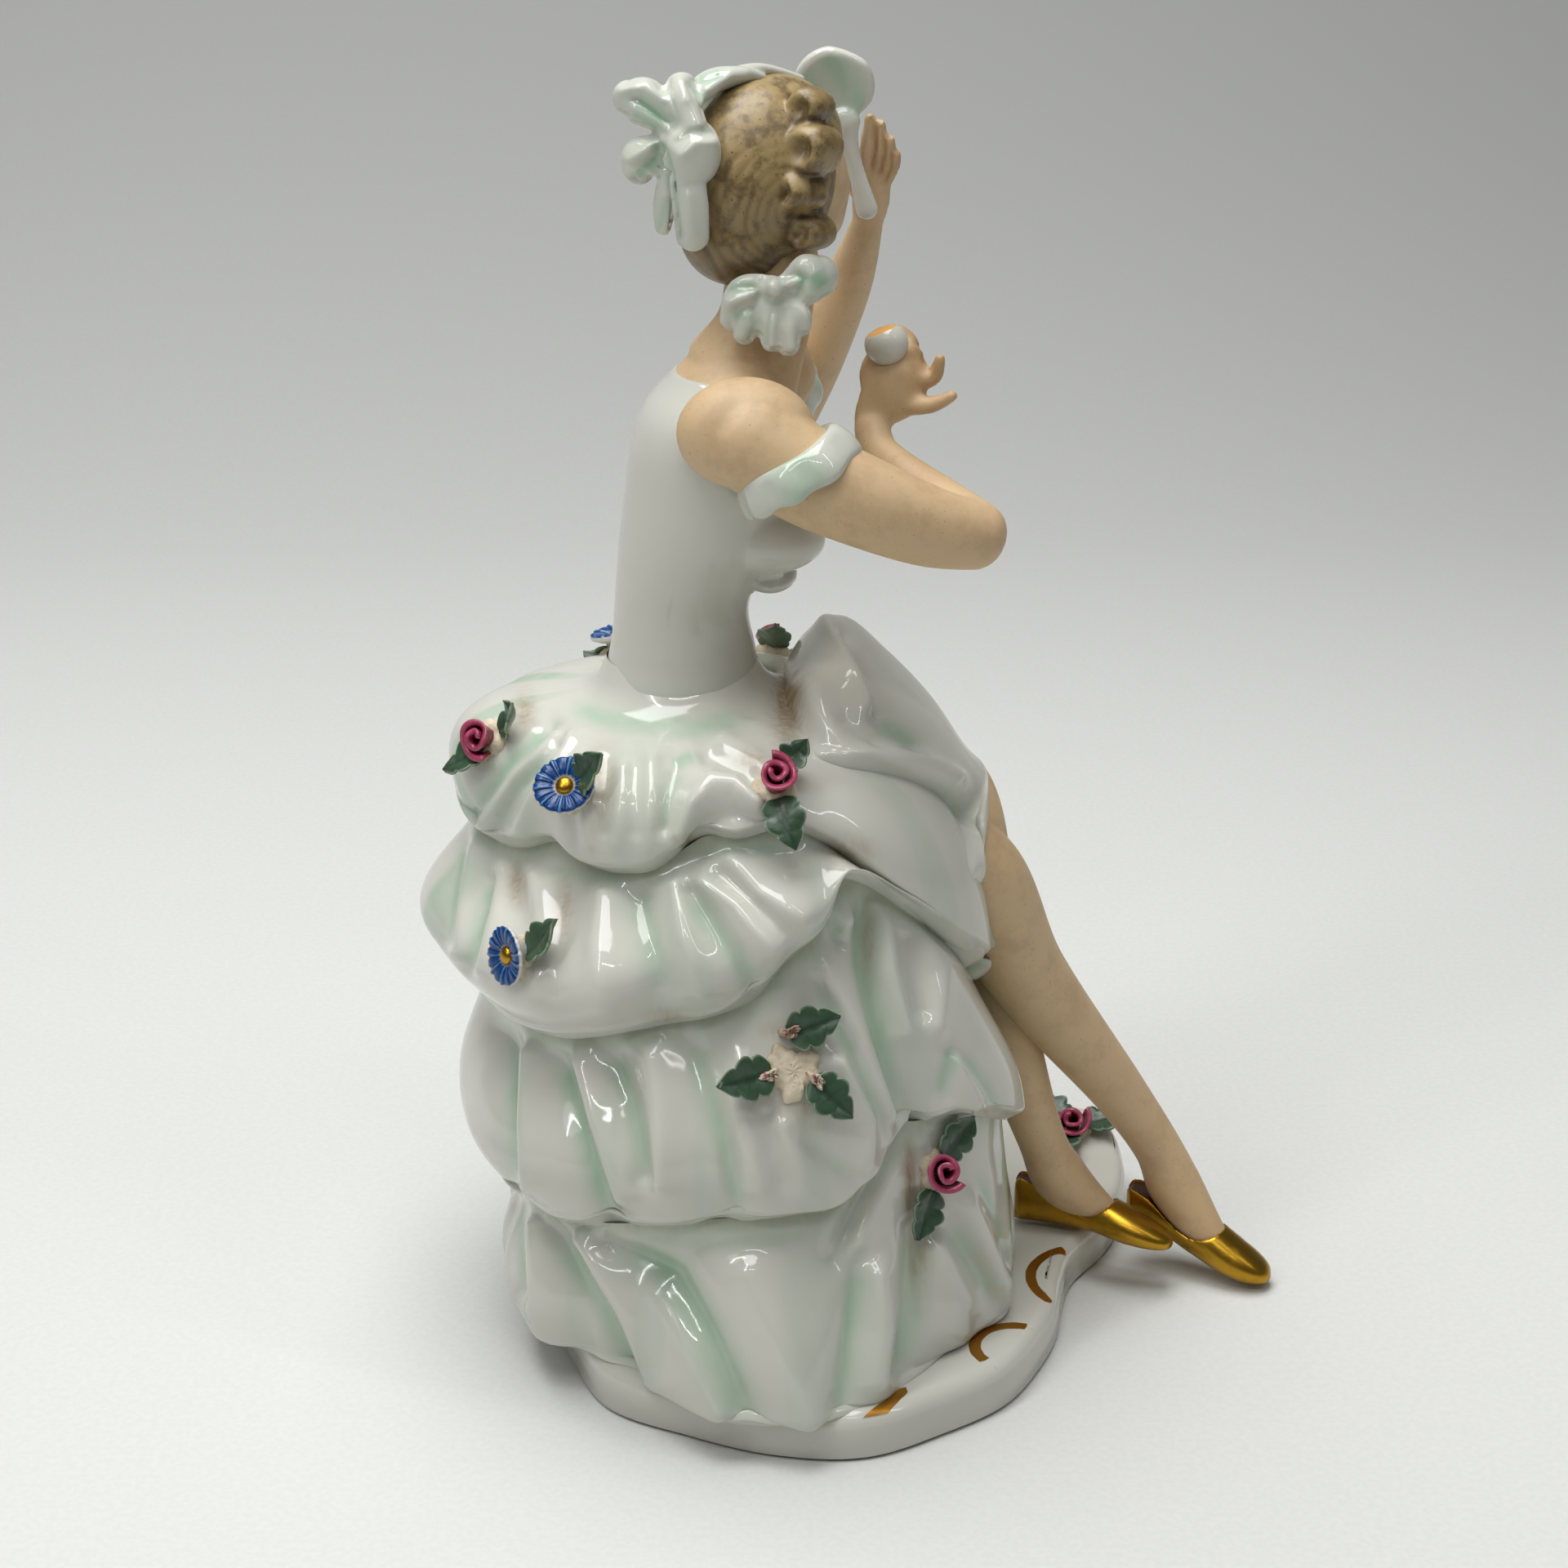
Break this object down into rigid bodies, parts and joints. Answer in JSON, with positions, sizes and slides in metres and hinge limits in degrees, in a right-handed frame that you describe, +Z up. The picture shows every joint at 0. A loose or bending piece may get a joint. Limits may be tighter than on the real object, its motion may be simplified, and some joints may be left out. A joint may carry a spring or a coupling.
{
  "type": "porcelain dancer figurine",
  "caption": "Seated porcelain dancer in a flounced skirt with applied flower sprigs, holding a hand mirror and a powder puff, on a low rocaille base.",
  "frame": {"origin": "middle of the base's flat underside", "axes": "+Z up; the figure faces +X, and her left side is towards +Y"},
  "size_m": [0.1394, 0.1045, 0.2004],
  "materials": {
    "glazed_porcelain": "white glazed porcelain with mint green washes in the folds",
    "bisque_skin": "matt painted bisque, warm skin colour",
    "painted_hair": "satin brown painted hair",
    "gilding": "burnished gold on the shoes and the base",
    "rose_glaze": "crimson glazed rose",
    "blue_glaze": "cobalt blue glazed flower with a gold centre",
    "leaf_glaze": "dark green glazed leaf with pale edges",
    "bare_clay": "rough broken scar, unglazed"
  },
  "bodies": {
    "root": {"dancer": "glazed_porcelain", "rose_sprig_back": "rose_glaze", "blue_sprig_hip": "blue_glaze", "rose_sprig_hip": "rose_glaze", "blue_sprig_side": "blue_glaze", "broken_sprig": "bare_clay", "rose_sprig_low": "rose_glaze", "blue_sprig_far": "blue_glaze", "rose_sprig_far_hip": "rose_glaze", "blue_sprig_far_side": "blue_glaze", "rose_sprig_far_low": "rose_glaze", "blue_sprig_far_low": "blue_glaze", "rose_sprig_base": "rose_glaze"}
  },
  "joints": []
}
